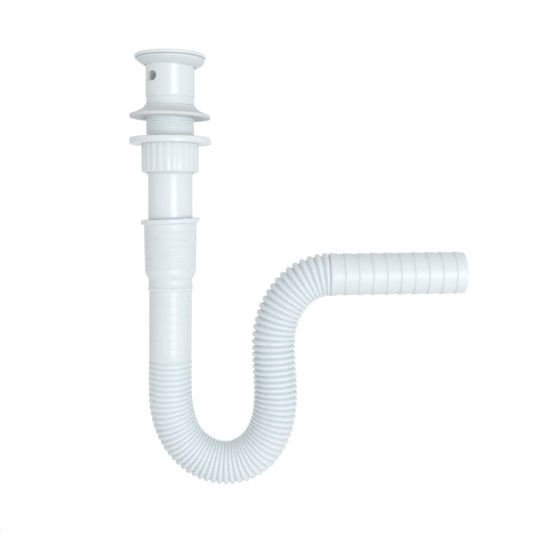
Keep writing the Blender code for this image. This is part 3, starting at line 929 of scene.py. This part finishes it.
def makeHose(size, way):
    points = routePoints(way, size)
    length = sum((b - a).length for a, b in zip(points, points[1:])) - 2 * size["stepLength"]
    foldStart = straightLength(size) + size["sleeveLength"] + 0.0003
    spigotStart = length - spigotLength(size)
    grooves = foldPlaces(foldStart, spigotStart, size)

    outside = cuffOutline(size) + foldOutline(grooves, size, False) + spigotOutline(spigotStart, size)
    inside = [
        (size["socket"] + size["mouth"], 0.0), (size["socket"] + 0.0003, size["mouth"]),
        (size["socket"], size["mouth"] + 0.0006), (size["socket"], size["stop"]),
        (size["sleeveBore"], size["stop"] + 0.0003), (size["sleeveBore"], foldStart - 0.0014),
    ]
    inside += foldOutline(grooves, size, True)
    for step in range(size["spigotSteps"]):
        place = spigotStart + step * size["stepLength"]
        inside += [
            (size["stepEndRadius"] - size["spigotWall"], place),
            (size["stepRadius"] - size["spigotWall"] - 0.0004, place + 0.0016),
        ]
    mouth = size["stepEndRadius"] - size["spigotWall"]
    inside += [(mouth, length - 0.0006), (mouth + 0.0003, length)]
    outline = [(radius, -place) for radius, place in outside + inside[::-1]]
    piece = turnOutline("bellowsHose", outline, size["sides"])

    # distance round the pipe from the mould line, kept for the material
    away = piece.data.attributes.new("fromMouldLine", "FLOAT", "POINT")
    for vertex, value in zip(piece.data.vertices, away.data):
        value.value = vertex.co.y if abs(vertex.co.x) > abs(vertex.co.y) else 0.02

    bendHose(piece, points, size, foldStart, spigotStart)
    smoothShade(piece, 60)
    return piece


def bendHose(piece, points, size, foldStart, foldEnd):
    # each ring of the blank is carried to its place on the route, upright to it
    distances = [0.0]
    for a, b in zip(points, points[1:]):
        distances.append(distances[-1] + (b - a).length)
    tangents = []
    for index in range(len(points)):
        low, high = max(index - 1, 0), min(index + 1, len(points) - 1)
        tangents.append((points[high] - points[low]).normalized())
    sides = [Vector((1, 0, 0))]
    for before, after in zip(tangents, tangents[1:]):
        sides.append(before.rotation_difference(after) @ sides[-1])
    frames = {}
    index = 0
    for place in sorted({round(-vertex.co.z, 7) for vertex in piece.data.vertices}):
        along = place + size["stepLength"]
        while index < len(distances) - 2 and distances[index + 1] < along:
            index += 1
        share = (along - distances[index]) / (distances[index + 1] - distances[index])
        centre = points[index].lerp(points[index + 1], share)
        tangent = tangents[index].lerp(tangents[index + 1], share).normalized()
        side = sides[index].lerp(sides[index + 1], share)
        side = (side - tangent * side.dot(tangent)).normalized()
        step = (points[index + 1] - points[index]).length
        curving = (tangents[index + 1] - tangents[index]) / step
        frames[place] = (centre, side, tangent.cross(side), curving)
    slant = math.tan(math.radians(size["rimSlant"]))
    rise, full, last, fall = size["pinchPlaces"]
    for vertex in piece.data.vertices:
        place = round(-vertex.co.z, 7)
        centre, side, other, curving = frames[place]
        offset = side * vertex.co.x - other * vertex.co.y
        squeeze = max(0.0, offset.dot(curving))
        if foldStart < place < foldEnd and offset.length > size["foldBore"] + welded:
            # folds on the inside of a bend close up, so their grooves grow shallow
            depth = size["foldRadius"] - offset.length
            kept = max(size["leastDepth"], 1 - size["closing"] * squeeze)
            offset *= (size["foldRadius"] - depth * kept) / offset.length
        if squeeze > 0 and rise < place < fall:
            # the first half of the bend is pressed a little flat on its inside
            share = min(1.0, (place - rise) / (full - rise), (fall - place) / (fall - last))
            inwards = curving.normalized()
            offset -= inwards * offset.dot(inwards) * size["pinch"] * share
        across = vertex.co.x
        vertex.co = centre + offset
        fade = (size["rimHeight"] + size["slantFade"] - place) / size["slantFade"]
        vertex.co.z += min(1.0, max(0.0, fade)) * across * slant
    piece.data.update()


hosePiece = makeHose(hose, route)
dressPiece(hosePiece, blownMaterial, "hose", "hose")
print("hose made:", len(hosePiece.data.polygons), "faces")


# Camera: its eye just above the top of the cuff, looking almost level
view = {
    "pixelSize": 0.000865, "imageSize": 533, "axisPixel": 170.4, "rimPixel": 56.0,
    "eyePixel": 203.0, "distance": 0.650, "shift": -0.10, "sensor": 36.0,
}


def makeCamera(size):
    span = size["pixelSize"] * size["imageSize"]
    middleX = (size["imageSize"] / 2 - size["axisPixel"]) * size["pixelSize"]
    middleZ = (size["rimPixel"] - size["imageSize"] / 2) * size["pixelSize"]
    eyeZ = (size["rimPixel"] - size["eyePixel"]) * size["pixelSize"]
    data = bpy.data.cameras.new("studioCamera")
    camera = bpy.data.objects.new("studioCamera", data)
    bpy.context.scene.collection.objects.link(camera)
    camera.location = (middleX, -size["distance"], eyeZ)
    drop = math.atan2(eyeZ - middleZ, size["distance"])
    drop -= math.atan(-size["shift"] * span / size["distance"])
    camera.rotation_euler = (math.radians(90) - drop, 0, 0)
    data.sensor_width = size["sensor"]
    data.lens = size["sensor"] * size["distance"] / span
    data.shift_y = size["shift"]
    data.clip_start = 0.01
    bpy.context.scene.camera = camera
    return Vector((middleX, 0, middleZ))


trapMiddle = makeCamera(view)


# Light: an even white surround, and one soft lamp right of the camera and a little lower
studio = {
    "surround": 0.68, "keyEnergy": 9.0, "keySize": 0.7, "keyBearing": 23.0, "keyRise": -7.0,
    "keyDistance": 1.5, "floorDrop": 0.28, "floorRadius": 0.42,
    "floorColour": (0.9, 0.9, 0.9, 1), "floorSpread": 0.01, "floorRoughness": 0.7, "floorDrift": 4.0,
}


def makeLight(size, middle):
    bearing, rise = math.radians(size["keyBearing"]), math.radians(size["keyRise"])
    out = Vector((math.sin(bearing) * math.cos(rise), -math.cos(bearing) * math.cos(rise), math.sin(rise)))
    data = bpy.data.lights.new("keyLamp", "AREA")
    data.shape = "DISK"
    data.size = size["keySize"]
    data.energy = size["keyEnergy"]
    lamp = bpy.data.objects.new("keyLamp", data)
    bpy.context.scene.collection.objects.link(lamp)
    lamp.location = middle + out * size["keyDistance"]
    lamp.rotation_euler = (-out).to_track_quat("-Z", "Y").to_euler()

    world = bpy.data.worlds.new("surround")
    bpy.context.scene.world = world
    world.use_nodes = True
    tree = world.node_tree
    paths = tree.nodes.new("ShaderNodeLightPath")
    seen = mathNode(tree, "MAXIMUM", paths.outputs["Is Camera Ray"], paths.outputs["Is Transmission Ray"])
    seen = mathNode(tree, "MAXIMUM", seen, paths.outputs["Is Glossy Ray"])
    strength = mathNode(tree, "MULTIPLY_ADD", seen, 1.0 - size["surround"], size["surround"])
    background = tree.nodes["Background"]
    background.inputs["Color"].default_value = (1, 1, 1, 1)
    tree.links.new(strength, background.inputs["Strength"])


makeLight(studio, trapMiddle)


def makeFloor(size):
    # a round pale floor under the part, out of the photograph's view
    startClean()
    bpy.ops.mesh.primitive_circle_add(
        vertices=96, radius=size["floorRadius"], fill_type="NGON",
        location=(trapMiddle.x, 0, cadLow.z - size["floorDrop"]),
    )
    floor = bpy.context.object
    floor.name = "studioFloor"
    material, tree, shader, place = startMaterial("paleFloor")
    tone = placeGroup(tree, toneGroup, {
        "Vector": place, "Color": size["floorColour"], "Shade Spread": size["floorSpread"],
        "Roughness": size["floorRoughness"], "Scale": size["floorDrift"],
    })
    tree.links.new(tone.outputs["Color"], shader.inputs["Base Color"])
    tree.links.new(tone.outputs["Roughness"], shader.inputs["Roughness"])
    floor.data.materials.append(material)


makeFloor(studio)
bpy.context.scene.view_settings.view_transform = "Standard"
print("camera, light and floor made")
